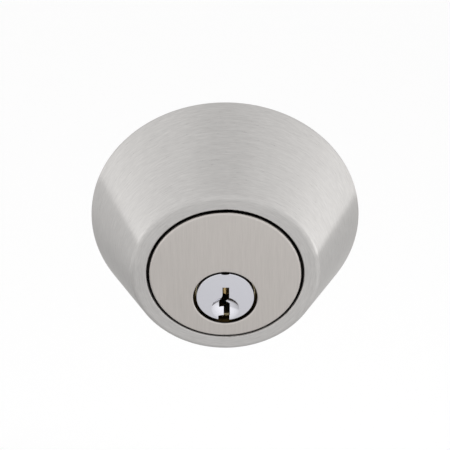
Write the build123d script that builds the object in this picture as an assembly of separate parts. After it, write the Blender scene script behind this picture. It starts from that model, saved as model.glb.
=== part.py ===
"""Outside half of a tubular deadbolt lock: a tapered guard that turns freely round a pin tumbler cylinder.

Frame: millimetres, +Z up. The origin is the centre of the door hole in the plane of the door's outside face.
-Y points out of the door, towards the key, so every depth behind the door's face is a positive Y.
The plug's own axis lies PLUG_DROP below the origin.
"""

from build123d import *
import os
from math import atan, cos, hypot, sqrt

# ---- door and tapered guard ----
DOOR_HOLE_R = 27.0
RIM_COVER = 6.0  # how far the guard's rim passes the door hole
GUARD_PROUD = 23.95  # front face to the door
GUARD_RING = 3.6  # width of the front face, out to where the taper's line meets it
GUARD_RUN = 0.2  # air between the rim and the door, so that the guard turns
GUARD_LAND = 0.5  # short straight band at the rim
GUARD_WALL = 2.0  # wall, square to the taper
GUARD_NOSE_R = 1.3  # rounding between the taper and the front face
GUARD_LIP = 2.4  # thickness of the inner lip that the cylinder's head traps
MOUTH_EASE = 0.35  # rounding of the front opening
LIP_PLAY = 0.2  # air between the head and the lip
MOUTH_GAP = 0.67  # ring of air between the guard's mouth and the cylinder's face

# ---- plug ----
PLUG_DROP = 6.5  # plug axis below the door hole's axis
PLUG_R = 6.35
PLUG_FIT = 0.05  # running clearance, on the radius and behind the barrel
HEAD_LEDGE = 0.55  # how far the plug's head stands out past its body
HEAD_LENGTH = 2.0
HEAD_FIT = 0.05  # clearance behind the plug's head
HEAD_EASE = 0.1  # bevel round the plug's face
PLUG_SUNK = 0.4  # how far the plug's face lies behind the finished face
HEAD_GAP = 0.7  # ring of air round the plug's head
NECK_STEP = 1.45  # the threaded neck is this much smaller than the plug
NECK_LENGTH = 2.85
NECK_FIT = 0.05
DIMPLE_R = 3.3  # dished hollow that leads the key in
DIMPLE_DEPTH = 1.2
DIMPLE_DROP = 3.35  # centre of the hollow below the plug's axis
MARK_R = 2.7  # index nick at the top of the plug's face
MARK_DEPTH = 0.28
MARK_LENGTH = 1.6

# ---- keyway, measured from the plug's axis ----
KEY_TOP = 2.9  # top of the upper slot
KEY_UPPER = (-0.65, 0.94)  # left and right walls of the upper slot
KEY_LOWER = (-0.39, 1.08)  # left and right walls of the lower slot
KEY_SPINE = (-1.70, 0.98)  # left and right walls of the spine's slot
KEY_SPINE_TOP = -5.75
KEY_WARD = (0.12, -1.85)  # point of the ward on the right wall
KEY_WARD_TOP = -0.46
KEY_WARD_FOOT = -2.55
KEY_LEDGE = (-1.50, -3.58)  # outer corner of the ledge on the left wall
KEY_LEDGE_TOP = -1.92
KEY_JOG_TOP = 0.60  # where the left wall starts to lean out

# ---- pins and springs ----
PIN_COUNT = 5
PIN_FIRST = 5.2  # plug's face to the first pin
PIN_PITCH = 3.96
PIN_R = 1.45
PIN_FIT = 0.05
PIN_TIP_R = 0.45
PIN_CROWN = 0.25  # bevel that lets a pin's top clear the shear line
PIN_SHY = 0.10  # a key pin's top below the plug's surface
PIN_SEAT = -3.05  # lowest place of a pin's point, from the plug's axis
PIN_SEAT_PLAY = 0.3  # lift of a pin on the deepest cut
PIN_STEP = 0.5  # change of lift per cut number
BITTING = (0, 3, 5, 2, 6)  # cut numbers from the face inwards
DRIVER_SHY = 0.02  # a driver's foot above the plug's bore
DRIVER_LENGTH = 5.0
DRIVER_BEVEL = 0.2
SPOOL_PINS = (1, 3)  # places whose driver has a waist
SPOOL_WAIST_R = 1.0
SPOOL_FLANGE = 1.1
SPRING_WIRE = 0.32
SPRING_FIT = 0.22  # air between a spring and its chamber
SPRING_TURNS = 5
SPRING_END = 0.03  # air at each end of a spring

# ---- screw posts and plug cap, which set the barrel's size ----
PLUG_CAP_RIM = 1.85  # the cap is this much larger than the plug
PLUG_CAP_LIP = 1.2
PLUG_CAP_EASE = 0.5
PLUG_CAP_NICKS = 8
PLUG_CAP_NICK_R = 0.8
PLUG_CAP_FACE = 1.5  # part of the cap's rim that the nicks leave whole
POST_R = 3.6
POST_LENGTH = 7.0
POST_CLEAR = 1.15  # air between a screw post and the plug's cap
POST_EDGE = 0.2  # the barrel's edge outside a post
POST_EASE = 0.4
SCREW_TAP_R = 2.1
SCREW_DEPTH = 18.0

# ---- barrel and its head ----
HEAD_STEP = 2.84  # the finished face is this much larger than the barrel
FACE_STANDS = 0.35  # finished face beyond the guard's
HEAD_DEPTH = 3.22  # finished face to the back of the cylinder's head
COVER_WALL = 0.6  # sheet thickness of the face cover
COVER_SHORT = 0.62  # the cover's skirt ends this far before the head's back
COVER_FIT = 0.02
COVER_EASE = 0.45  # rounding of the cover's rim
COVER_HOLE_EASE = 0.36
REAR_WALL = 2.48  # barrel behind the last chamber
BARREL_EASE = 0.4
RECESS_FIT = 0.05  # the barrel's recess is this much larger than the cover's hole
STRIP_SUNK = 1.8  # floor of the cover strip's slot below the barrel's top
STRIP_W = 5.6
STRIP_T = 1.2
STRIP_FIT = 0.02
STRIP_LAP = 0.6  # how far the strip runs past the first chamber
STRIP_SHORT = 0.1  # strip's end before the barrel's
STRIP_EASE = 0.2
HARD_PIN_R = 1.0
HARD_PIN_LENGTH = 8.0
HARD_PIN_END = 0.1  # air behind a hard pin
HARD_PIN_SIDE = 0.9  # metal between a hard pin and the first chamber
HARD_PIN_RISE = 0.1  # a hard pin's foot above the top of the plug's recess

# ---- collar, washer and snap ring ----
PILOT_FIT = 0.3
PILOT_LENGTH = 3.0
PILOT_WALL = 1.8
COLLAR_FLANGE = 2.5
COLLAR_WALL = 1.8
COLLAR_GAP = 0.6  # air between the collar and the inside of the guard
SLEEVE_FIT = 0.1
SLEEVE_WALL = 0.95
LIP_FIT = 0.2  # running clearance between the sleeve and the guard's lip
WASHER_T = 0.4
WASHER_BOW = 0.75
WASHER_PLAY = 0.15  # air between the washer's crest and the lip
WASHER_FIT = 0.55  # air between the sleeve and the washer
WASHER_EDGE = 1.2  # washer's rim inside the shoulder's
HUB_WALL = 2.0
HUB_SHORT = 2.0  # the hub stops this far before the door's plane
RIB_COUNT = 6
RIB_T = 1.6
RIB_SHORT = 3.7  # the ribs stop this far before the door's plane
RIB_SINK = 0.5  # how far a rib runs into the hub
SNAP_T = 1.0
SNAP_GROOVE = 0.8
SNAP_FIT = 0.05
SNAP_W = 2.2
SNAP_SIDE = 1.7  # opening of the snap ring beside the cover strip
SNAP_EAR_R = 1.5
SNAP_EYE_R = 0.6

# ---- lock pin of the plug's cap, and tailpiece ----
LOCK_PIN_R = 0.5
LOCK_PIN_FIT = 0.03
LOCK_PIN_GAP = 0.12  # metal between the neck and the lock pin's hole
LOCK_PIN_LENGTH = 4.0
LOCK_PIN_REACH = 1.1  # how far it stands in the cap's scallop
LOCK_PIN_EASE = 0.12
LOCK_HOLE = 7.0
LOCK_WIRE = 0.14
LOCK_TURNS = 5
SCALLOPS = 12
SCALLOP_FIT = 0.12
SCALLOP_END = 0.25  # air in front of the lock pin
DRIVE_LUG = 1.4  # height of the lugs that turn the tailpiece
DRIVE_RIM = 0.3  # lugs inside the neck's surface
DRIVE_CORE_R = 1.0
DRIVE_ARC = 88.0  # arc of the plug's lug
TAIL_ARC = 178.0  # arc of the tailpiece's lug, which leaves a quarter turn of play
TAIL_SLACK = 1.0  # angle between the two lugs at rest
TAIL_DISC = 0.95
TAIL_FIT = 0.1
TAIL_PLAY = 0.34  # air between the blade's corners and the cap's lip
TAIL_W = 6.0
TAIL_T = 2.0
TAIL_SINK = 0.2  # how far lug and blade run into the disc
TAIL_REACH = 50.0  # end of the blade behind the door's outside face
TAIL_POINT = 2.0
SCORE_FIRST = 24.0
SCORE_PITCH = 5.0
SCORE_COUNT = 5
SCORE_R = 0.35

PAST = 1.0  # how far a cutting shape runs past what it cuts
SAME = 0.01  # two sizes this close are the same

# ---- radii worked out from the driving sizes ----
PLUG_HEAD_R = PLUG_R + HEAD_LEDGE
FACE_HOLE_R = PLUG_HEAD_R + HEAD_GAP
RECESS_R = FACE_HOLE_R + RECESS_FIT
BORE_R = PLUG_R + PLUG_FIT
CHAMBER_R = PIN_R + PIN_FIT
NECK_R = PLUG_R - NECK_STEP
PLUG_CAP_R = PLUG_R + PLUG_CAP_RIM
POST_X = sqrt((PLUG_CAP_R + POST_CLEAR + POST_R) ** 2 - PLUG_DROP**2)
BARREL_R = POST_X + POST_R + POST_EDGE
FACE_R = BARREL_R + HEAD_STEP
HEAD_R = FACE_R - COVER_WALL - COVER_FIT
MOUTH_R = FACE_R + MOUTH_GAP
GUARD_FACE_R = MOUTH_R + GUARD_RING
GUARD_BASE_R = DOOR_HOLE_R + RIM_COVER
SLEEVE_IN = BARREL_R + SLEEVE_FIT
SLEEVE_OUT = SLEEVE_IN + SLEEVE_WALL
HUB_R = SLEEVE_OUT + HUB_WALL
PILOT_R = DOOR_HOLE_R - PILOT_FIT
LUG_R = NECK_R - DRIVE_RIM
LOCK_PIN_AT = NECK_R + LOCK_PIN_GAP + LOCK_PIN_FIT + LOCK_PIN_R
PLUG_CAP_LIP_R = hypot(TAIL_W, TAIL_T) / 2 + TAIL_PLAY

# ---- depths along Y ----
FACE_Y = -GUARD_PROUD - FACE_STANDS
HEAD_FRONT = FACE_Y + COVER_WALL
HEAD_BACK = FACE_Y + HEAD_DEPTH
LIP_FRONT = HEAD_BACK + LIP_PLAY
LIP_BACK = LIP_FRONT + GUARD_LIP
SHOULDER = LIP_BACK + WASHER_PLAY + WASHER_BOW + WASHER_T
PLUG_FACE = FACE_Y + PLUG_SUNK
PLUG_HEAD_BACK = PLUG_FACE + HEAD_LENGTH
PIN_AT = [PLUG_FACE + PIN_FIRST + i * PIN_PITCH for i in range(PIN_COUNT)]
BARREL_END = PIN_AT[-1] + CHAMBER_R + REAR_WALL
POST_END = BARREL_END + POST_LENGTH
STRIP_FRONT = PIN_AT[0] - CHAMBER_R - STRIP_LAP
SNAP_FRONT = -HUB_SHORT
PLUG_STEP = BARREL_END + PLUG_FIT
PLUG_END = PLUG_STEP + NECK_LENGTH
TAIL_DISC_Y = PLUG_END + DRIVE_LUG + TAIL_FIT
CAP_LIP_Y = TAIL_DISC_Y + TAIL_DISC + NECK_FIT
CAP_BACK = CAP_LIP_Y + PLUG_CAP_LIP

# ---- heights ----
CHAMBER_TOP = BARREL_R - STRIP_SUNK
KEY_PIN_TOP = PLUG_R - PIN_SHY
DRIVER_FOOT = BORE_R + DRIVER_SHY - PLUG_DROP
DRIVER_TOP = DRIVER_FOOT + DRIVER_LENGTH
HARD_PIN_X = CHAMBER_R + HARD_PIN_SIDE + HARD_PIN_R
HARD_PIN_Z = RECESS_R - PLUG_DROP + HARD_PIN_RISE + HARD_PIN_R

# ---- the taper, which the guard's inside and the collar follow ----
TAPER = (GUARD_BASE_R - GUARD_FACE_R) / (GUARD_PROUD - GUARD_RUN - GUARD_LAND)
GUARD_WALL_ACROSS = GUARD_WALL / cos(atan(TAPER))
COLLAR_WALL_ACROSS = COLLAR_WALL / cos(atan(TAPER))

plug_axis = Pos(0, 0, -PLUG_DROP)


def guard_inside_r(y):
    """Radius of the guard's inner taper at depth y."""
    return GUARD_BASE_R + TAPER * (y + GUARD_RUN + GUARD_LAND) - GUARD_WALL_ACROSS


def collar_r(y):
    """Radius of the collar's taper at depth y, clear of the guard's inside."""
    return guard_inside_r(y) - COLLAR_GAP


def turned(*points, arc=360):
    """A solid turned about the Y axis from (radius, y) corners."""
    return revolve(make_face(Polyline(*points, close=True)), Axis.Y, arc)


def turned_upright(*points):
    """A solid turned about the Z axis from (radius, z) corners."""
    outline = [(r, 0, z) for r, z in points]
    return revolve(make_face(Polyline(*outline, close=True)), Axis.Z, 360)


def rod(radius, y_from, y_to, x=0.0, z=0.0):
    """A round bar along Y."""
    bar = Cylinder(radius, y_to - y_from, align=(Align.CENTER, Align.CENTER, Align.MIN))
    return Pos(x, y_from, z) * Rot(-90, 0, 0) * bar


def post(radius, z_from, z_to, y=0.0, x=0.0):
    """A round bar along Z."""
    bar = Cylinder(radius, z_to - z_from, align=(Align.CENTER, Align.CENTER, Align.MIN))
    return Pos(x, y, z_from) * bar


def block(x, y, z):
    """A box from three (low, high) pairs."""
    size = [high - low for low, high in (x, y, z)]
    middle = [(high + low) / 2 for low, high in (x, y, z)]
    return Pos(*middle) * Box(*size)


def sector(radius, core, y_from, y_to, arc, middle_angle):
    """Part of a thick ring about the Y axis, its middle at an angle from +X towards +Z."""
    ring = turned((core, y_from), (radius, y_from), (radius, y_to), (core, y_to), arc=arc)
    return Rot(0, -arc / 2 - middle_angle, 0) * ring


def spring(radius, wire, turns, length):
    """A coil of square wire that stands on Z = 0."""
    height = length - wire
    path = Helix(pitch=height / turns, height=height, radius=radius)
    section = (path ^ 0) * Rectangle(wire, wire)
    return Pos(0, 0, wire / 2) * sweep(section, path=path, is_frenet=True)


def front_circles(solid, radius, y):
    """The round edges of one radius in one plane across the Y axis."""
    rounds = solid.edges().filter_by(GeomType.CIRCLE)
    return [e for e in rounds if abs(e.radius - radius) < SAME and abs(e.center().Y - y) < SAME]


def back_edges(solid):
    """The edges of the rearmost face."""
    return solid.faces().sort_by(Axis.Y)[-1].edges()


# ---- guard ----
def make_guard():
    rim_in = GUARD_BASE_R - GUARD_WALL_ACROSS
    lip_in = SLEEVE_OUT + LIP_FIT
    body = turned(
        (rim_in, -GUARD_RUN),
        (GUARD_BASE_R, -GUARD_RUN),
        (GUARD_BASE_R, -GUARD_RUN - GUARD_LAND),
        (GUARD_FACE_R, -GUARD_PROUD),
        (MOUTH_R, -GUARD_PROUD),
        (MOUTH_R, LIP_FRONT),
        (lip_in, LIP_FRONT),
        (lip_in, LIP_BACK),
        (guard_inside_r(LIP_BACK), LIP_BACK),
        (rim_in, -GUARD_RUN - GUARD_LAND),
    )
    body = fillet(front_circles(body, GUARD_FACE_R, -GUARD_PROUD), GUARD_NOSE_R)
    return fillet(front_circles(body, MOUTH_R, -GUARD_PROUD), MOUTH_EASE)


# ---- collar that seats on the door and carries the cylinder ----
def make_collar():
    web_back = SHOULDER + COLLAR_WALL
    pilot_in = PILOT_R - PILOT_WALL
    shell = turned(
        (SLEEVE_OUT, SHOULDER),
        (collar_r(SHOULDER), SHOULDER),
        (collar_r(-COLLAR_FLANGE), -COLLAR_FLANGE),
        (collar_r(-COLLAR_FLANGE), 0),
        (PILOT_R, 0),
        (PILOT_R, PILOT_LENGTH),
        (pilot_in, PILOT_LENGTH),
        (pilot_in, -COLLAR_FLANGE),
        (collar_r(SHOULDER) - COLLAR_WALL_ACROSS, web_back),
        (SLEEVE_OUT, web_back),
    )
    sleeve = turned(
        (SLEEVE_IN, HEAD_BACK),
        (SLEEVE_OUT, HEAD_BACK),
        (SLEEVE_OUT, SHOULDER),
        (HUB_R, SHOULDER),
        (HUB_R, SNAP_FRONT),
        (SLEEVE_IN, SNAP_FRONT),
    )
    middle = SHOULDER + COLLAR_WALL / 2
    rib_in = HUB_R - RIB_SINK
    rib = make_face(
        Polyline(
            (rib_in, middle),
            (collar_r(middle) - COLLAR_WALL_ACROSS / 2, middle),
            (collar_r(-RIB_SHORT) - COLLAR_WALL_ACROSS / 2, -RIB_SHORT),
            (rib_in, -RIB_SHORT),
            close=True,
        )
    )
    web = extrude(rib, amount=RIB_T / 2, both=True)
    ribs = [Rot(0, (i + 0.5) * 360 / RIB_COUNT, 0) * web for i in range(RIB_COUNT)]
    return shell + [sleeve] + ribs


def make_washer():
    """A bowed spring washer, cut from a curved strip, whose two ends stand on the collar's shoulder."""
    inner = SLEEVE_OUT + WASHER_FIT
    outer = collar_r(SHOULDER) - WASHER_EDGE
    bow_r = (outer**2 + WASHER_BOW**2) / (2 * WASHER_BOW)
    crest = SHOULDER - WASHER_T - WASHER_BOW
    bow = Pos(0, crest + WASHER_T + bow_r, 0)
    band = Circle(bow_r + WASHER_T) - Circle(bow_r)
    strip = extrude(bow * band, amount=outer + PAST, both=True)
    tube = turned((inner, crest - PAST), (outer, crest - PAST), (outer, SHOULDER), (inner, SHOULDER))
    return strip & tube


def make_snap_ring():
    """The ring in the barrel's groove that keeps collar and guard on the barrel."""
    inner = BARREL_R - SNAP_GROOVE + SNAP_FIT
    outer = inner + SNAP_W
    y = (SNAP_FRONT, SNAP_FRONT + SNAP_T)
    cut_y = (y[0] - PAST, y[1] + PAST)
    half_mouth = STRIP_W / 2 + SNAP_SIDE
    ring = turned((inner, y[0]), (outer, y[0]), (outer, y[1]), (inner, y[1]))
    ring -= block((-half_mouth, half_mouth), cut_y, (0, outer + PAST))
    ear_x = half_mouth + SNAP_EAR_R / 2
    ear_z = sqrt((inner + SNAP_EAR_R) ** 2 - ear_x**2)
    for side in (-1, 1):
        ring += rod(SNAP_EAR_R, *y, x=side * ear_x, z=ear_z)
        ring -= rod(SNAP_EYE_R, *cut_y, x=side * ear_x, z=ear_z)
    return ring


# ---- cylinder ----
def make_barrel():
    groove_r = BARREL_R - SNAP_GROOVE
    groove_end = SNAP_FRONT + SNAP_T + SNAP_FIT
    body = turned(
        (0, HEAD_FRONT),
        (HEAD_R, HEAD_FRONT),
        (HEAD_R, HEAD_BACK),
        (BARREL_R, HEAD_BACK),
        (BARREL_R, SNAP_FRONT),
        (groove_r, SNAP_FRONT),
        (groove_r, groove_end),
        (BARREL_R, groove_end),
        (BARREL_R, BARREL_END - BARREL_EASE),
        (BARREL_R - BARREL_EASE, BARREL_END),
        (0, BARREL_END),
    )
    for side in (-1, 1):
        boss = rod(POST_R, BARREL_END - PAST, POST_END, x=side * POST_X)
        body += chamfer(back_edges(boss), POST_EASE)
    body -= plug_axis * rod(BORE_R, HEAD_FRONT - PAST, BARREL_END + PAST)
    body -= plug_axis * rod(RECESS_R, HEAD_FRONT - PAST, PLUG_HEAD_BACK + HEAD_FIT)
    for y in PIN_AT:
        body -= post(CHAMBER_R, -PLUG_DROP, CHAMBER_TOP + PAST, y=y)
    slot_y = (STRIP_FRONT, BARREL_END + PAST)
    body -= block((-STRIP_W / 2, STRIP_W / 2), slot_y, (CHAMBER_TOP, BARREL_R + PAST))
    for side in (-1, 1):
        body -= rod(SCREW_TAP_R, POST_END - SCREW_DEPTH, POST_END + PAST, x=side * POST_X)
        hard_end = HEAD_FRONT + HARD_PIN_LENGTH + HARD_PIN_END
        body -= rod(HARD_PIN_R + COVER_FIT, HEAD_FRONT - PAST, hard_end, x=side * HARD_PIN_X, z=HARD_PIN_Z)
    return body


def make_cover_strip():
    half = STRIP_W / 2 - STRIP_FIT
    y = (STRIP_FRONT + STRIP_FIT, BARREL_END - STRIP_SHORT)
    strip = block((-half, half), y, (CHAMBER_TOP, CHAMBER_TOP + STRIP_T))
    return chamfer(strip.edges().filter_by(Axis.Y).group_by(Axis.Z)[-1], STRIP_EASE)


def make_hard_pin(side):
    return rod(HARD_PIN_R, HEAD_FRONT, HEAD_FRONT + HARD_PIN_LENGTH, x=side * HARD_PIN_X, z=HARD_PIN_Z)


def make_face_cover():
    skirt_end = HEAD_BACK - COVER_SHORT
    inside = FACE_R - COVER_WALL
    shell = turned(
        (0, FACE_Y),
        (FACE_R, FACE_Y),
        (FACE_R, skirt_end),
        (inside, skirt_end),
        (inside, HEAD_FRONT),
        (0, HEAD_FRONT),
    )
    shell -= plug_axis * rod(FACE_HOLE_R, FACE_Y - PAST, HEAD_FRONT + PAST)
    shell = fillet(front_circles(shell, FACE_R, FACE_Y), COVER_EASE)
    return fillet(front_circles(shell, FACE_HOLE_R, FACE_Y), COVER_HOLE_EASE)


# ---- plug ----
def keyway_outline():
    """The key's slot as seen from the key side, X to the right and Z up, about the plug's axis."""
    left, right = KEY_UPPER
    low_left, low_right = KEY_LOWER
    spine_left, spine_right = KEY_SPINE
    ledge_x, ledge_z = KEY_LEDGE
    below = -PLUG_HEAD_R - PAST
    corners = [
        (left, KEY_TOP),
        (right, KEY_TOP),
        (right, KEY_WARD_TOP),
        KEY_WARD,
        (low_right, KEY_WARD_FOOT),
        (low_right, KEY_SPINE_TOP),
        (spine_right, KEY_SPINE_TOP),
        (spine_right, below),
        (spine_left, below),
        (spine_left, KEY_SPINE_TOP),
        (low_left, KEY_SPINE_TOP),
        (low_left, ledge_z),
        (ledge_x, ledge_z),
        (ledge_x, KEY_LEDGE_TOP),
        (left, KEY_JOG_TOP),
    ]
    return make_face(Polyline(*[(x, 0, z) for x, z in corners], close=True))


def pin_pocket():
    """One key pin's hole in the plug, about the pin's own line, with its coned seat."""
    tip = PIN_SEAT - PIN_FIT
    return turned_upright(
        (0, tip),
        (PIN_TIP_R, tip),
        (CHAMBER_R, tip + CHAMBER_R - PIN_TIP_R),
        (CHAMBER_R, PLUG_HEAD_R),
        (0, PLUG_HEAD_R),
    )


def make_plug():
    """Built about its own axis, then dropped to its place."""
    body = turned(
        (0, PLUG_FACE),
        (PLUG_HEAD_R - HEAD_EASE, PLUG_FACE),
        (PLUG_HEAD_R, PLUG_FACE + HEAD_EASE),
        (PLUG_HEAD_R, PLUG_HEAD_BACK),
        (PLUG_R, PLUG_HEAD_BACK),
        (PLUG_R, PLUG_STEP),
        (NECK_R, PLUG_STEP),
        (NECK_R, PLUG_END),
        (0, PLUG_END),
    )
    body += sector(LUG_R, DRIVE_CORE_R, PLUG_END, PLUG_END + DRIVE_LUG, DRIVE_ARC, 180)
    ball_r = (DIMPLE_R**2 + DIMPLE_DEPTH**2) / (2 * DIMPLE_DEPTH)
    body -= Pos(0, PLUG_FACE + DIMPLE_DEPTH - ball_r, -DIMPLE_DROP) * Sphere(ball_r)
    length = PLUG_END + DRIVE_LUG - PLUG_FACE + 2 * PAST
    body -= Pos(0, PLUG_FACE - PAST, 0) * extrude(keyway_outline(), amount=length, dir=(0, 1, 0))
    for y in PIN_AT:
        body -= Pos(0, y, 0) * pin_pocket()
    body -= rod(LOCK_PIN_R + LOCK_PIN_FIT, PLUG_STEP - LOCK_HOLE, PLUG_STEP + PAST, x=LOCK_PIN_AT)
    mark_z = PLUG_HEAD_R - MARK_DEPTH + MARK_R
    body -= rod(MARK_R, PLUG_FACE - PAST, PLUG_FACE + MARK_LENGTH, z=mark_z)
    return plug_axis * body


# ---- pins and springs ----
def make_key_pin(i):
    tip = PIN_SEAT + PIN_SEAT_PLAY + PIN_STEP * BITTING[i]
    pin = turned_upright(
        (0, tip),
        (PIN_TIP_R, tip),
        (PIN_R, tip + PIN_R - PIN_TIP_R),
        (PIN_R, KEY_PIN_TOP - PIN_CROWN),
        (PIN_R - PIN_CROWN, KEY_PIN_TOP),
        (0, KEY_PIN_TOP),
    )
    return plug_axis * Pos(0, PIN_AT[i], 0) * pin


def make_driver(i):
    inner = PIN_R - DRIVER_BEVEL
    waist = []
    if i in SPOOL_PINS:
        waist_foot = DRIVER_FOOT + SPOOL_FLANGE
        waist_top = DRIVER_TOP - SPOOL_FLANGE
        waist = [
            (PIN_R, waist_foot),
            (SPOOL_WAIST_R, waist_foot),
            (SPOOL_WAIST_R, waist_top),
            (PIN_R, waist_top),
        ]
    pin = turned_upright(
        (0, DRIVER_FOOT),
        (inner, DRIVER_FOOT),
        (PIN_R, DRIVER_FOOT + DRIVER_BEVEL),
        *waist,
        (PIN_R, DRIVER_TOP - DRIVER_BEVEL),
        (inner, DRIVER_TOP),
        (0, DRIVER_TOP),
    )
    return Pos(0, PIN_AT[i], 0) * pin


def make_pin_spring(i):
    foot = DRIVER_TOP + SPRING_END
    coil_r = CHAMBER_R - SPRING_FIT - SPRING_WIRE / 2
    length = CHAMBER_TOP - SPRING_END - foot
    return Pos(0, PIN_AT[i], foot) * spring(coil_r, SPRING_WIRE, SPRING_TURNS, length)


# ---- plug cap, lock pin and tailpiece ----
def make_plug_cap():
    bore = NECK_R + NECK_FIT
    body = turned(
        (bore, PLUG_STEP),
        (PLUG_CAP_R, PLUG_STEP),
        (PLUG_CAP_R, CAP_BACK - PLUG_CAP_EASE),
        (PLUG_CAP_R - PLUG_CAP_EASE, CAP_BACK),
        (PLUG_CAP_LIP_R, CAP_BACK),
        (PLUG_CAP_LIP_R, CAP_LIP_Y),
        (bore, CAP_LIP_Y),
    )
    scallop_end = PLUG_STEP + LOCK_PIN_REACH + SCALLOP_END
    scallop = rod(LOCK_PIN_R + SCALLOP_FIT, PLUG_STEP - PAST, scallop_end, x=LOCK_PIN_AT)
    for i in range(SCALLOPS):
        body -= Rot(0, i * 360 / SCALLOPS, 0) * scallop
    nick = rod(PLUG_CAP_NICK_R, PLUG_STEP + PLUG_CAP_FACE, CAP_BACK + PAST, x=PLUG_CAP_R)
    for i in range(PLUG_CAP_NICKS):
        body -= Rot(0, (i + 0.5) * 360 / PLUG_CAP_NICKS, 0) * nick
    return plug_axis * body


def make_lock_pin():
    back = PLUG_STEP + LOCK_PIN_REACH
    pin = rod(LOCK_PIN_R, back - LOCK_PIN_LENGTH, back, x=LOCK_PIN_AT)
    return plug_axis * chamfer(back_edges(pin), LOCK_PIN_EASE)


def make_lock_spring():
    front = PLUG_STEP - LOCK_HOLE + SPRING_END
    back = PLUG_STEP + LOCK_PIN_REACH - LOCK_PIN_LENGTH - SPRING_END
    coil = spring(LOCK_PIN_R - LOCK_WIRE, LOCK_WIRE, LOCK_TURNS, back - front)
    return plug_axis * Pos(LOCK_PIN_AT, front, 0) * Rot(-90, 0, 0) * coil


def make_tailpiece():
    disc = rod(NECK_R - 2 * TAIL_FIT, TAIL_DISC_Y, TAIL_DISC_Y + TAIL_DISC)
    sunk = TAIL_DISC_Y + TAIL_SINK
    lug_middle = 180 - (DRIVE_ARC + TAIL_ARC) / 2 - TAIL_SLACK
    lug = sector(LUG_R, DRIVE_CORE_R, PLUG_END + TAIL_FIT, sunk, TAIL_ARC, lug_middle)
    blade = block((-TAIL_T / 2, TAIL_T / 2), (sunk, TAIL_REACH), (-TAIL_W / 2, TAIL_W / 2))
    blade = chamfer(back_edges(blade).filter_by(Axis.X), TAIL_POINT, TAIL_W / 4)
    for i in range(SCORE_COUNT):
        for side in (-1, 1):
            blade -= post(SCORE_R, -TAIL_W, TAIL_W, y=SCORE_FIRST + i * SCORE_PITCH, x=side * TAIL_T / 2)
    return plug_axis * (disc + [lug, blade])


def main():
    nodes = {
        "guard": make_guard(),
        "mounting_collar": make_collar(),
        "spring_washer": make_washer(),
        "snap_ring": make_snap_ring(),
        "cylinder_body": make_barrel(),
        "spring_cover_strip": make_cover_strip(),
        "anti_drill_pin_left": make_hard_pin(-1),
        "anti_drill_pin_right": make_hard_pin(1),
        "face_cover": make_face_cover(),
        "plug": make_plug(),
        "plug_cap": make_plug_cap(),
        "cap_lock_pin": make_lock_pin(),
        "cap_lock_spring": make_lock_spring(),
        "tailpiece": make_tailpiece(),
    }
    for i in range(PIN_COUNT):
        nodes[f"key_pin_{i + 1}"] = make_key_pin(i)
        nodes[f"driver_pin_{i + 1}"] = make_driver(i)
        nodes[f"pin_spring_{i + 1}"] = make_pin_spring(i)
    os.makedirs("parts", exist_ok=True)
    for name, shape in nodes.items():
        shape.label = name
        export_step(shape, f"parts/{name}.step")


main()
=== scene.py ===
import math

import bpy
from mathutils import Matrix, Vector


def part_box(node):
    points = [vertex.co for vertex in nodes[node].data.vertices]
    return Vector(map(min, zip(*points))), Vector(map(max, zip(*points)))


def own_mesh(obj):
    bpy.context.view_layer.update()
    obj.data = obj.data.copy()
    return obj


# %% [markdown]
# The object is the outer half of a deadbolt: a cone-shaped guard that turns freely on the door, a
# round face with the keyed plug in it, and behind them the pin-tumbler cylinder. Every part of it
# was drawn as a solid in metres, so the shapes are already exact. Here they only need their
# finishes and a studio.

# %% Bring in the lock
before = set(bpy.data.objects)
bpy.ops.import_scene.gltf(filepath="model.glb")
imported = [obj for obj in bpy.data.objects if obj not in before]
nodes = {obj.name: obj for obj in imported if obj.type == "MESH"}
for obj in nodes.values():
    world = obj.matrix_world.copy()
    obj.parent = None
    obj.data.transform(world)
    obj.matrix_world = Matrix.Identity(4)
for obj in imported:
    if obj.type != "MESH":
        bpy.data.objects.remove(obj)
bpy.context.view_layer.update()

# %% [markdown]
# A long lens from far away keeps a small round thing from looking swollen. The camera stands in
# front of the lock and above it, so the cone's upper side and the face both show.

# %% Camera
LENS_MM = 117.68
CAMERA_DISTANCE = 0.35
CAMERA_ELEVATION = math.radians(34.815)
LOOKED_AT = Vector((-0.000013, -0.0130, 0.006812))
CAMERA_ROLL = math.radians(-0.166)
TOWARDS_CAMERA = Vector((0, -math.cos(CAMERA_ELEVATION), math.sin(CAMERA_ELEVATION)))

camera_data = bpy.data.cameras.new("studio_camera")
camera_data.lens = LENS_MM
camera_data.clip_start = 0.01
camera_data.clip_end = 20
camera = bpy.data.objects.new("studio_camera", camera_data)
bpy.context.scene.collection.objects.link(camera)
camera.location = LOOKED_AT + CAMERA_DISTANCE * TOWARDS_CAMERA
camera.rotation_euler = (-TOWARDS_CAMERA).to_track_quat("-Z", "Y").to_euler()
camera.rotation_euler.rotate_axis("Z", CAMERA_ROLL)
bpy.context.scene.camera = camera
print(f"camera {CAMERA_DISTANCE} m away, lens {LENS_MM} mm")

# %% [markdown]
# Every finish below is a small sum of patterns: lines left by a lathe, a mask that says where the
# chrome ends. Such sums are easier to read as Python than as a chain of nodes, so this class holds
# one output of a node and turns +, -, * and / on it into Math nodes.


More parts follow.
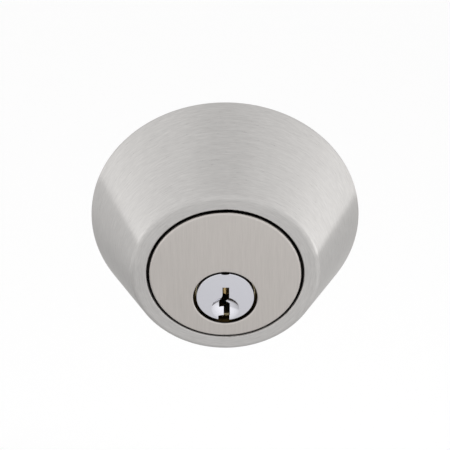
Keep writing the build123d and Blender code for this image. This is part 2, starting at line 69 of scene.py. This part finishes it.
# %% Sums on shader values
class Wire:
    """One output of a node. A sum written with it becomes a Math node in the same finish."""

    def __init__(self, finish, socket):
        self.finish = finish
        self.socket = socket

    def __add__(self, other):
        return self.finish.sum("ADD", self, other)

    __radd__ = __add__

    def __sub__(self, other):
        return self.finish.sum("SUBTRACT", self, other)

    def __rsub__(self, other):
        return self.finish.sum("SUBTRACT", other, self)

    def __mul__(self, other):
        return self.finish.sum("MULTIPLY", self, other)

    __rmul__ = __mul__

    def __truediv__(self, other):
        return self.finish.sum("DIVIDE", self, other)

    def __rtruediv__(self, other):
        return self.finish.sum("DIVIDE", other, self)

    def __pow__(self, power):
        return self.finish.sum("POWER", self, power)


# %% [markdown]
# A finish is one material. It keeps its Principled shader at hand, takes the values that are the
# same all over the metal straight onto the shader's sockets, and adds any other node with one
# method: the type, then its settings, then what goes into its sockets.


# %% One finish
class Finish:
    """A material under construction."""

    def __init__(self, name, **steady):
        self.material = bpy.data.materials.new(name)
        self.material.use_nodes = True
        self.tree = self.material.node_tree
        self.surface = self.tree.nodes["Principled BSDF"]
        for words, value in steady.items():
            self.surface.inputs[words.replace("_", " ").title()].default_value = value

    def add(self, kind, settings=None, sockets=None, output=0):
        """Adds a node and returns one of its outputs."""
        node = self.tree.nodes.new(kind)
        for name, value in (settings or {}).items():
            setattr(node, name, value)
        for name, value in (sockets or {}).items():
            self.feed(node.inputs[name], value)
        return Wire(self, node.outputs[output])

    def feed(self, socket, value):
        """Links a wire to a socket, or writes a plain value on it."""
        if isinstance(value, Wire):
            self.tree.links.new(value.socket, socket)
        else:
            socket.default_value = value

    def sum(self, operation, first, second):
        return self.add("ShaderNodeMath", {"operation": operation}, {0: first, 1: second})

    def mix(self, share, low, high):
        """A colour between two colours: low where share is 0, high where it is 1."""
        return self.add("ShaderNodeMix", {"data_type": "RGBA"}, {0: share, 6: low, 7: high}, 2)

    def step(self, value, start, end):
        """A soft step from 0 at start to 1 at end."""
        settings = {"interpolation_type": "SMOOTHSTEP"}
        return self.add("ShaderNodeMapRange", settings, {0: value, 1: start, 2: end})

    def drives(self, socket, value):
        """Lets a wire drive one socket of the metal's own shader."""
        self.feed(self.surface.inputs[socket], value)


print("ready to mix finishes")

# %% [markdown]
# All the lock's round pieces share one axis, the Y axis of the frame, and the plug has its own a
# little lower. The solids keep their place in their vertices, so the Object coordinates are metres
# in the frame on every piece, and they travel with a piece when it turns.

# %% Places on the lock
PLUG_DROP = -0.0065


def place(finish):
    """The x, y and z of a point of the metal, as wires."""
    where = finish.add("ShaderNodeTexCoord", output=3)
    split = finish.add("ShaderNodeSeparateXYZ", sockets={0: where}).socket.node
    return [Wire(finish, output) for output in split.outputs]


def from_axis(x, z, centre_z=0.0):
    """The distance of a point from an axis along Y."""
    lift = z - centre_z
    return (x * x + lift * lift) ** 0.5


# %% [markdown]
# A turned surface has very fine rings round its axis: abrasive cloth is held against it while it
# spins. A noise that changes fast with depth and radius, and slowly in x and z, gives short
# scratches that follow the turning. An angle round the axis would do too, but it jumps from one
# half turn to the other and would leave a seam.


# %% Lines of the lathe and of the belt
def turned_lines(finish, pitch, length, centre_z=0.0):
    """Noise in rings round the axis: a line every pitch metres, each about length metres long."""
    x, y, z = place(finish)
    across = from_axis(x, z, centre_z) / pitch
    spot = finish.add("ShaderNodeCombineXYZ", sockets={0: x / length, 1: y / pitch, 2: z / length})
    sockets = {"Vector": spot, "W": across, "Scale": 1.0, "Detail": 2.0, "Roughness": 0.5}
    return finish.add("ShaderNodeTexNoise", {"noise_dimensions": "4D"}, sockets)


def straight_lines(finish, pitch, length):
    """Noise drawn out along Z, as a belt leaves it."""
    x, y, z = place(finish)
    spot = finish.add("ShaderNodeCombineXYZ", sockets={0: x / pitch, 1: y / pitch, 2: z / length})
    sockets = {"Vector": spot, "Scale": 1.0, "Detail": 3.0, "Roughness": 0.6}
    return finish.add("ShaderNodeTexNoise", sockets=sockets)


def grain(finish, size, detail=3.0):
    """Even noise, with lumps of about the given size."""
    where = finish.add("ShaderNodeTexCoord", output=3)
    sockets = {"Vector": where, "Scale": 1 / size, "Detail": detail, "Roughness": 0.55}
    return finish.add("ShaderNodeTexNoise", sockets=sockets)


def relief(finish, height, depth):
    """Scratches as deep as depth, in metres, on the metal's normal."""
    bump = finish.add("ShaderNodeBump", sockets={"Strength": 1.0, "Distance": depth, "Height": height})
    finish.drives("Normal", bump)


def shade(colour, factor):
    """The same colour, lighter or darker."""
    return (colour[0] * factor, colour[1] * factor, colour[2] * factor, 1.0)


EDGE = 0.00005


def gap_mask(finish, radius, front, fade, centre_z=0.0):
    """1 inside the radius and a fade's depth behind the front, and 0 on the rest of the metal."""
    x, y, z = place(finish)
    inside = 1 - finish.step(from_axis(x, z, centre_z), radius - EDGE, radius + EDGE)
    return inside * finish.step(y, front, front + fade)


# %% [markdown]
# The guard is the part that everyone sees: satin nickel on a turned cone. Light that falls on rings
# this fine spreads along the cone's slope and stays sharp round it, so the cone shows clean bands
# of light from edge to edge. The Anisotropic value does that; the radial tangent tells the shader
# which way the rings run, and a quarter turn of it puts the spread across them. Behind its mouth
# the guard is painted nearly black, a painted shade that makes the narrow gap round the face read
# as deep. It is a painted tone, chosen to look right, and not a measured one.

# %% Satin nickel of the guard
NICKEL = (0.571, 0.558, 0.546)
DULL_EDGE = (0.6, 0.6, 0.6, 1.0)
# A near-black painted shade for the walls of the narrow gaps.
GAP_SHADE = (0.03, 0.028, 0.025)

GUARD_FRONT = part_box("guard")[0].y
MOUTH_R = 0.0186
MOUTH_FADE = 0.0016
FINE_PITCH = 0.00013
BROAD_PITCH = 0.00032
SCRATCH_DEPTH = 0.000004

satin_nickel = Finish(
    "satin_nickel_turned",
    metallic=1.0,
    roughness=0.35,
    specular_tint=DULL_EDGE,
    anisotropic=1.0,
    anisotropic_rotation=0.25,
)
rings = satin_nickel.add("ShaderNodeTangent", {"direction_type": "RADIAL", "axis": "Y"})
satin_nickel.drives("Tangent", rings)
fine = turned_lines(satin_nickel, FINE_PITCH, 0.0018)
broad = turned_lines(satin_nickel, BROAD_PITCH, 0.0045)
scratches_and_sheen = fine * 0.65 + broad * 0.35
polished = satin_nickel.mix(scratches_and_sheen, shade(NICKEL, 0.68), shade(NICKEL, 1.32))
# Painted shade: behind the guard's mouth the metal is nearly black.
mouth_shade = gap_mask(satin_nickel, MOUTH_R, GUARD_FRONT, MOUTH_FADE)
satin_nickel.drives("Base Color", satin_nickel.mix(mouth_shade, polished, shade(GAP_SHADE, 1.0)))
satin_nickel.drives("Roughness", 0.24 + scratches_and_sheen * 0.1)
relief(satin_nickel, scratches_and_sheen, SCRATCH_DEPTH)
print(f"guard: lines every {FINE_PITCH * 1000:.2f} and {BROAD_PITCH * 1000:.2f} mm")

# %% [markdown]
# The face that covers the cylinder is a pressed cap, brushed straight up and down on a belt before
# it goes on, and a little warmer in colour than the guard. Its skirt and the wall of its hole are
# painted nearly black, a painted shade, as the guard's mouth is.

# %% Satin nickel of the face
FACE_NICKEL = (0.58, 0.547, 0.52)
FACE_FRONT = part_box("face_cover")[0].y
HOLE_R = 0.0077
HOLE_FADE = 0.0005
BELT_FINE = 0.00012
BELT_BROAD = 0.0004

face_nickel = Finish("satin_nickel_straight", metallic=1.0, roughness=0.42, anisotropic=0.8)
across = face_nickel.add("ShaderNodeTangent", {"direction_type": "RADIAL", "axis": "Z"})
face_nickel.drives("Tangent", across)
fine = straight_lines(face_nickel, BELT_FINE, 0.004)
broad = straight_lines(face_nickel, BELT_BROAD, 0.01)
scratches_and_sheen = fine * 0.6 + broad * 0.4
brushed = face_nickel.mix(scratches_and_sheen, shade(FACE_NICKEL, 0.82), shade(FACE_NICKEL, 1.18))
x, y, z = place(face_nickel)
# Painted shade: the wall of the hole and the skirt behind the front are nearly black.
hole = gap_mask(face_nickel, HOLE_R, FACE_FRONT, HOLE_FADE, PLUG_DROP)
skirt = face_nickel.step(y, FACE_FRONT + 0.0005, FACE_FRONT + 0.001)
face_gap_shade = face_nickel.sum("MAXIMUM", hole, skirt)
face_nickel.drives("Base Color", face_nickel.mix(face_gap_shade, brushed, shade(GAP_SHADE, 1.0)))
face_nickel.drives("Roughness", 0.27 + scratches_and_sheen * 0.16)
relief(face_nickel, scratches_and_sheen, SCRATCH_DEPTH)
print(f"face: straight lines every {BELT_FINE * 1000:.2f} and {BELT_BROAD * 1000:.2f} mm")

# %% [markdown]
# The plug is turned from brass, and only its face is chromed: plating hardly reaches into a narrow
# keyway. So one material holds both, and a mask by depth and by distance from the plug's axis says
# which is which. Chrome is smooth enough to show the studio, so the hollow's tones are mostly left to
# its reflections, which stay right when the plug turns. A painted highlight makes the hollow a little
# brighter where it is deepest and a little darker near its edge. The brass inside the keyway is
# painted far darker than brass is, a painted shade, because little light gets in.

# %% Chrome and brass of the plug
CHROME = (0.71, 0.71, 0.76)
BRASS = (0.50, 0.36, 0.16)
PLUG_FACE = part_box("plug")[0].y
HEAD_R = 0.0069
LEAD_IN_R = 0.0033
LEAD_IN_DEPTH = 0.0012
LEAD_IN_Z = PLUG_DROP - 0.00335
CHROME_ROUGHNESS = 0.13

plug_metal = Finish("chromed_brass_plug", metallic=1.0, roughness=0.2)
x, y, z = place(plug_metal)
dish = LEAD_IN_DEPTH * (1 - (from_axis(x, z, LEAD_IN_Z) / LEAD_IN_R) ** 2)
surface_depth = plug_metal.sum("MAXIMUM", dish, 0.0)
bare = plug_metal.step(y - PLUG_FACE - surface_depth, 0.0001, 0.0003)
turning = turned_lines(plug_metal, 0.0001, 0.003, PLUG_DROP)
# Painted shade: the keyway's brass is painted at 6 to 16 hundredths of the brass tone.
painted_dark_brass = plug_metal.mix(turning, shade(BRASS, 0.06), shade(BRASS, 0.16))
rim = plug_metal.step(from_axis(x, z, PLUG_DROP), HEAD_R - 0.0001, HEAD_R - 0.00005)
behind = plug_metal.mix(rim, painted_dark_brass, shade(CHROME, 0.8))
share = surface_depth / LEAD_IN_DEPTH
# Painted highlight: the hollow's chrome is painted brighter towards its deepest point, and a little
# darker near its edge.
scratches_and_sheen = plug_metal.mix(share, shade(CHROME, 0.88), shade(CHROME, 1.3))
in_dish = plug_metal.step(share, 0.0, 0.03)
plating = plug_metal.mix(in_dish, shade(CHROME, 1.0), scratches_and_sheen)
plug_metal.drives("Base Color", plug_metal.mix(bare, plating, behind))
plug_metal.drives("Roughness", CHROME_ROUGHNESS + bare * 0.3 + in_dish * 0.04)
print(f"plug: chrome on its face at y {PLUG_FACE:.5f} and on the hollow that leads the key in")

# %% [markdown]
# The other brass pieces are plain machined brass, with coarser turning lines that nobody polished.
# The key pins are painted lighter, a painted highlight, so that the one behind the keyway shows.
# Where the cylinder's body rings the plug's face, its floor is painted bright, a painted highlight,
# and its wall dark, a painted shade; it is plain brass everywhere else.

# %% Machined brass
def machined(name, light):
    """Machined brass, and its tone."""
    finish = Finish(name, metallic=1.0, roughness=0.35)
    turning = turned_lines(finish, 0.00022, 0.006)
    tarnish = grain(finish, 0.004)
    finish.drives("Roughness", 0.26 + tarnish * 0.2)
    relief(finish, turning, 0.000006)
    worn = turning * 0.5 + tarnish * 0.5
    return finish, finish.mix(worn, shade(BRASS, 0.78 * light), shade(BRASS, 1.22 * light))


machined_brass, tone = machined("machined_brass", 1.0)
machined_brass.drives("Base Color", tone)
# Painted highlight: the key pins' brass is painted half again as light as the other brass.
pin_brass, tone = machined("key_pin_brass", 1.5)
pin_brass.drives("Base Color", tone)

RECESS_FLOOR_R = 0.0069
# Painted highlight: a bright brass for the floor round the plug's face.
PAINTED_LIT_BRASS = (1.0, 0.88, 0.58)

barrel_brass, tone = machined("barrel_brass", 1.0)
x, y, z = place(barrel_brass)
from_plug = from_axis(x, z, PLUG_DROP)
# Painted highlight on the floor round the plug's face, painted shade on the wall beyond it.
shaded_wall = barrel_brass.step(from_plug, RECESS_FLOOR_R, RECESS_FLOOR_R + 0.0002)
in_plug_hole = gap_mask(barrel_brass, HOLE_R, PLUG_FACE - 0.001, HOLE_FADE, PLUG_DROP)
lit_floor = barrel_brass.mix(in_plug_hole, tone, shade(PAINTED_LIT_BRASS, 1.0))
barrel_brass.drives("Base Color", barrel_brass.mix(in_plug_hole * shaded_wall, lit_floor, shade(BRASS, 0.1)))
print("brass: machined, not polished")

# %% [markdown]
# The collar behind the guard is die-cast zinc. A casting skin has no direction: it is a grey,
# slightly pebbled metal, so plain noise is enough.

# %% Zinc casting
ZINC = (0.40, 0.41, 0.42)

cast_zinc = Finish("die_cast_zinc", metallic=1.0, roughness=0.45)
pebbles = grain(cast_zinc, 0.0005)
clouds = grain(cast_zinc, 0.006)
cast_zinc.drives("Base Color", cast_zinc.mix(clouds, shade(ZINC, 0.8), shade(ZINC, 1.2)))
cast_zinc.drives("Roughness", 0.38 + pebbles * 0.2)
relief(cast_zinc, pebbles, 0.000012)
print("collar: cast skin")

# %% [markdown]
# The small steel pieces differ in how they are made: springs, washer and snap ring are drawn or
# rolled bright, the pins against drilling and the cap's lock pin are hardened and darker, and the
# tailpiece is stamped and zinc plated.


# %% Steels
def steel(name, colour, rough, size):
    """Plain steel with faint clouds in its tone."""
    finish = Finish(name, metallic=1.0, roughness=rough)
    clouds = grain(finish, size)
    finish.drives("Base Color", finish.mix(clouds, shade(colour, 0.82), shade(colour, 1.18)))
    finish.drives("Roughness", rough - 0.08 + clouds * 0.16)
    relief(finish, clouds, 0.000003)
    return finish


spring_steel = steel("bright_spring_steel", (0.42, 0.42, 0.43), 0.28, 0.0015)
hard_steel = steel("hardened_steel", (0.27, 0.27, 0.28), 0.32, 0.001)
plated_steel = steel("zinc_plated_steel", (0.52, 0.53, 0.55), 0.34, 0.003)
print("three steels")

# %% [markdown]
# Each solid takes one finish for all of its faces.

# %% Put the finishes on
FINISHES = {
    "guard": satin_nickel,
    "face_cover": face_nickel,
    "plug": plug_metal,
    "mounting_collar": cast_zinc,
    "cylinder_body": barrel_brass,
    "key_pin": pin_brass,
    "driver_pin": machined_brass,
    "plug_cap": machined_brass,
    "spring_cover_strip": machined_brass,
    "spring_washer": spring_steel,
    "snap_ring": spring_steel,
    "cap_lock_spring": spring_steel,
    "pin_spring": spring_steel,
    "anti_drill_pin": hard_steel,
    "cap_lock_pin": hard_steel,
    "tailpiece": plated_steel,
}
for name in nodes:
    kind = name.rstrip("_12345").removesuffix("_left").removesuffix("_right")
    nodes[name].data.materials.clear()
    nodes[name].data.materials.append(FINISHES[kind].material)
print(f"{len(nodes)} pieces dressed in {len(set(FINISHES.values()))} finishes")

# %% [markdown]
# A coil spring shortens when the pin that it presses moves. Real coils come closer together; a
# plain squeeze along the spring's axis, held at its resting end, would show nearly the same thing.
# Here each spring is only given a mesh of its own.

for number in range(1, 6):
    spring = f"pin_spring_{number}"
    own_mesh(nodes[spring])

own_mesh(nodes["cap_lock_spring"])

# %% [markdown]
# The studio is a white floor far enough below the lock for its shadow to fade, and white air that is
# a little dimmer straight overhead. A soft grey patch on the floor gives the metal something darker
# to reflect. Two tall narrow lamps stand at the sides, bright at their lower border and dim above:
# on turned metal that border draws the clean edge between a light and a darker band.

# %% Studio
FLOOR_Z = -0.45
PAPER = (1.0, 1.0, 1.0)
PATCH = (0.66, 0.66, 0.66)
PATCH_CENTRE = (-0.25, -0.25)
PATCH_EDGE = (0.25, 0.7)
OVERHEAD = 0.8
OVERHEAD_FROM = 0.85
SPREAD = math.radians(150)

bpy.ops.mesh.primitive_plane_add(size=12, location=(0, 0, FLOOR_Z))
floor = bpy.context.object
floor.name = "studio_floor"
paper = Finish("white_paper", roughness=0.9)
x, y, z = place(paper)
reach = from_axis(x - PATCH_CENTRE[0], y - PATCH_CENTRE[1])
off_patch = paper.step(reach, *PATCH_EDGE)
paper.drives("Base Color", paper.mix(off_patch, shade(PATCH, 1.0), shade(PAPER, 1.0)))
floor.data.materials.append(paper.material)

world = bpy.data.worlds.new("white_air")
world.use_nodes = True
air = world.node_tree
upward = air.nodes.new("ShaderNodeTexCoord")
parts = air.nodes.new("ShaderNodeSeparateXYZ")
fade = air.nodes.new("ShaderNodeMapRange")
air.links.new(upward.outputs["Generated"], parts.inputs[0])
air.links.new(parts.outputs["Z"], fade.inputs[0])
for socket, value in enumerate((OVERHEAD_FROM, 1.0, 1.0, OVERHEAD), start=1):
    fade.inputs[socket].default_value = value
air.links.new(fade.outputs[0], air.nodes["Background"].inputs["Strength"])
air.nodes["Background"].inputs["Color"].default_value = (1, 1, 1, 1)
bpy.context.scene.world = world


def lamp(name, low_edge, top, wide, bright, dim):
    """A tall flat lamp beside the lock: bright at its lower border and dim at its top."""
    high = top - low_edge[2]
    data = bpy.data.lights.new(name, "AREA")
    data.shape = "RECTANGLE"
    data.size, data.size_y = wide, high
    data.energy = math.pi * wide * high
    data.spread = SPREAD
    data.use_nodes = True
    tree = data.node_tree
    spot = tree.nodes.new("ShaderNodeNewGeometry")
    split = tree.nodes.new("ShaderNodeSeparateXYZ")
    fade = tree.nodes.new("ShaderNodeMath")
    scale = tree.nodes.new("ShaderNodeMath")
    tree.links.new(spot.outputs["Parametric"], split.inputs[0])
    fade.operation = "POWER"
    fade.inputs[0].default_value = dim / bright
    tree.links.new(split.outputs["Y"], fade.inputs[1])
    scale.operation = "MULTIPLY"
    scale.inputs[0].default_value = bright
    tree.links.new(fade.outputs[0], scale.inputs[1])
    tree.links.new(scale.outputs[0], tree.nodes["Emission"].inputs["Strength"])
    thing = bpy.data.objects.new(name, data)
    bpy.context.scene.collection.objects.link(thing)
    thing.location = (low_edge[0], low_edge[1], low_edge[2] + high / 2)
    inward = Vector((-low_edge[0], 0, 0))
    thing.rotation_euler = inward.to_track_quat("-Z", "Y").to_euler()
    print(f"{name}: {wide} by {high:.2f} m")


lamp("lamp_right", (0.6, 0.0, -0.22), 0.8, 0.5, 0.72, 0.06)
lamp("lamp_left", (-0.6, 0.0, -0.09), 0.9, 0.5, 0.42, 0.03)

# %% [markdown]
# Standard shows a colour as it is written, which suits a product on white.

# %% Finish
bpy.context.scene.view_settings.view_transform = "Standard"
